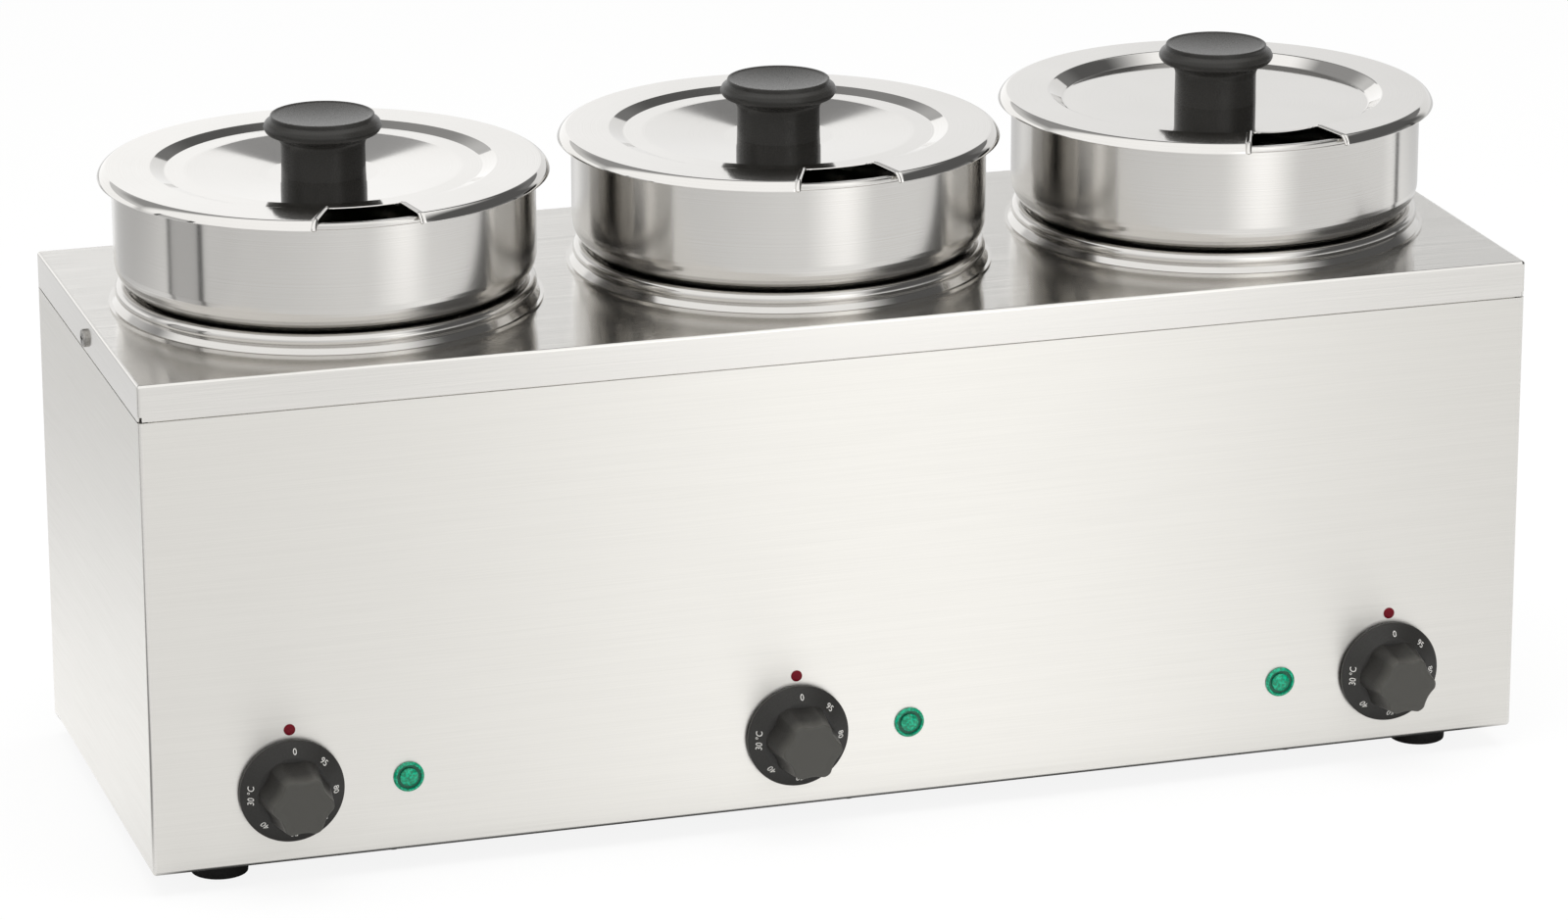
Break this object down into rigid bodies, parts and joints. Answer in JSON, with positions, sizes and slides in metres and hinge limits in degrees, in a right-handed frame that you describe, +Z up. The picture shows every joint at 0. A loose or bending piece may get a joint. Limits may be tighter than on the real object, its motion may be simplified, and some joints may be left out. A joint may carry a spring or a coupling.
{
  "type": "bain marie",
  "caption": "Counter-top electric bain marie: a folded steel housing with heated wells, lift-out pots with notched lids and black knobs, and a thermostat dial and pilot lamp for each well.",
  "frame": {"origin": "on the counter, midway between the four feet", "axes": "+Z up, +X to the right along the front, front panel faces -Y"},
  "size_m": [0.7544, 0.3078, 0.3721],
  "materials": {
    "housing_steel": "brushed",
    "well_steel": "bright",
    "pot_steel": "polished",
    "screw_steel": "bright",
    "element_steel": "dull",
    "plate_aluminium": "cast",
    "probe_copper": "drawn copper",
    "black_plastic": "satin",
    "dial_plastic": "satin with white numerals",
    "white_plastic": "matte",
    "lamp_green": "translucent",
    "stud_red": "gloss",
    "foot_rubber": "matte"
  },
  "bodies": {
    "housing": {"casing": "housing_steel", "top_cover": "housing_steel", "rear_panel": "housing_steel", "base_plate": "housing_steel", "feet": "foot_rubber", "foot_screws": "screw_steel", "foot_nuts": "screw_steel", "cover_screws": "screw_steel", "case_screws": "screw_steel", "thermostat_screws": "screw_steel", "heater_nuts": "screw_steel", "terminal_screws": "screw_steel", "heater_clamps": "screw_steel", "probe_brackets": "screw_steel", "index_studs": "stud_red", "lamp_nuts": "black_plastic", "cable_gland": "black_plastic", "gland_nut": "black_plastic", "terminal_block": "white_plastic", "well_left": "well_steel", "heat_plate_left": "plate_aluminium", "heater_element_left": "element_steel", "thermostat_body_left": "white_plastic", "thermostat_probe_left": "probe_copper", "lamp_lens_left": "lamp_green", "lamp_body_left": "black_plastic", "well_middle": "well_steel", "heat_plate_middle": "plate_aluminium", "heater_element_middle": "element_steel", "thermostat_body_middle": "white_plastic", "thermostat_probe_middle": "probe_copper", "lamp_lens_middle": "lamp_green", "lamp_body_middle": "black_plastic", "well_right": "well_steel", "heat_plate_right": "plate_aluminium", "heater_element_right": "element_steel", "thermostat_body_right": "white_plastic", "thermostat_probe_right": "probe_copper", "lamp_lens_right": "lamp_green", "lamp_body_right": "black_plastic"},
    "pot_left_body": {"pot_left": "pot_steel"},
    "lid_left_body": {"lid_left": "pot_steel", "lid_knob_left": "black_plastic", "lid_knob_screw_left": "screw_steel"},
    "dial_left_body": {"thermostat_knob_left": "dial_plastic", "thermostat_shaft_left": "screw_steel"},
    "pot_middle_body": {"pot_middle": "pot_steel"},
    "lid_middle_body": {"lid_middle": "pot_steel", "lid_knob_middle": "black_plastic", "lid_knob_screw_middle": "screw_steel"},
    "dial_middle_body": {"thermostat_knob_middle": "dial_plastic", "thermostat_shaft_middle": "screw_steel"},
    "pot_right_body": {"pot_right": "pot_steel"},
    "lid_right_body": {"lid_right": "pot_steel", "lid_knob_right": "black_plastic", "lid_knob_screw_right": "screw_steel"},
    "dial_right_body": {"thermostat_knob_right": "dial_plastic", "thermostat_shaft_right": "screw_steel"}
  },
  "joints": [
    {"name": "pot_left_lift", "type": "slide", "parent": "housing", "child": "pot_left_body", "axis": [0, 0, 1], "range_m": [0, 0.25]},
    {"name": "lid_left_lift", "type": "slide", "parent": "pot_left_body", "child": "lid_left_body", "axis": [0, 0, 1], "range_m": [0, 0.12]},
    {"name": "dial_left_turn", "type": "hinge", "parent": "housing", "child": "dial_left_body", "pos_m": [-0.302, -0.13, 0.052], "axis": [0, 1, 0], "range_deg": [0, 315]},
    {"name": "pot_middle_lift", "type": "slide", "parent": "housing", "child": "pot_middle_body", "axis": [0, 0, 1], "range_m": [0, 0.25]},
    {"name": "lid_middle_lift", "type": "slide", "parent": "pot_middle_body", "child": "lid_middle_body", "axis": [0, 0, 1], "range_m": [0, 0.12]},
    {"name": "dial_middle_turn", "type": "hinge", "parent": "housing", "child": "dial_middle_body", "pos_m": [-0.031, -0.13, 0.052], "axis": [0, 1, 0], "range_deg": [0, 315]},
    {"name": "pot_right_lift", "type": "slide", "parent": "housing", "child": "pot_right_body", "axis": [0, 0, 1], "range_m": [0, 0.25]},
    {"name": "lid_right_lift", "type": "slide", "parent": "pot_right_body", "child": "lid_right_body", "axis": [0, 0, 1], "range_m": [0, 0.12]},
    {"name": "dial_right_turn", "type": "hinge", "parent": "housing", "child": "dial_right_body", "pos_m": [0.302, -0.13, 0.052], "axis": [0, 1, 0], "range_deg": [0, 315]}
  ]
}
